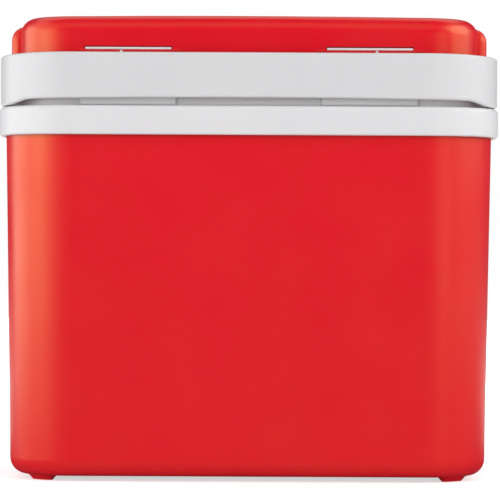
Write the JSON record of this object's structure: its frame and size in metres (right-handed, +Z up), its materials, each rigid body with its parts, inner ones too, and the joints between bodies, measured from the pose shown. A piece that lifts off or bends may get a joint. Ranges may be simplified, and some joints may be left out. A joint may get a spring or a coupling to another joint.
{
  "type": "cool box",
  "caption": "Insulated carry cool box: drafted tub on moulded corner feet, white collar, domed hinged lid with snap tabs, and a bail handle that swings over the lid.",
  "frame": {"origin": "floor level under the middle of the box", "axes": "+X to the right across the front, -Y out of the front, +Z up"},
  "size_m": [0.4, 0.27, 0.3695],
  "materials": {
    "red_body": "satin",
    "red_lid": "satin",
    "white_trim": "satin",
    "white_handle": "satin",
    "white_liner": "satin",
    "foam": "matte"
  },
  "bodies": {
    "box": {"outer_shell": "red_body", "inner_liner": "white_liner", "collar": "white_trim", "body_foam": "foam", "hinge_tab_left": "white_trim", "hinge_tab_right": "white_trim", "pivot_pin_left": "white_trim", "pivot_pin_right": "white_trim"},
    "lid": {"lid_cover": "red_lid", "lid_liner": "white_liner", "lid_foam": "foam", "latch_tab_left": "white_trim", "latch_tab_right": "white_trim"},
    "handle": {"carry_handle": "white_handle"}
  },
  "joints": [
    {"name": "handle_swing", "type": "hinge", "parent": "box", "child": "handle", "pos_m": [0, 0, 0.3162], "axis": [-1, 0, 0], "range_deg": [0, 178]},
    {"name": "lid_hinge", "type": "hinge", "parent": "box", "child": "lid", "pos_m": [0, 0.116, 0.341], "axis": [-1, 0, 0], "range_deg": [0, 98]}
  ]
}
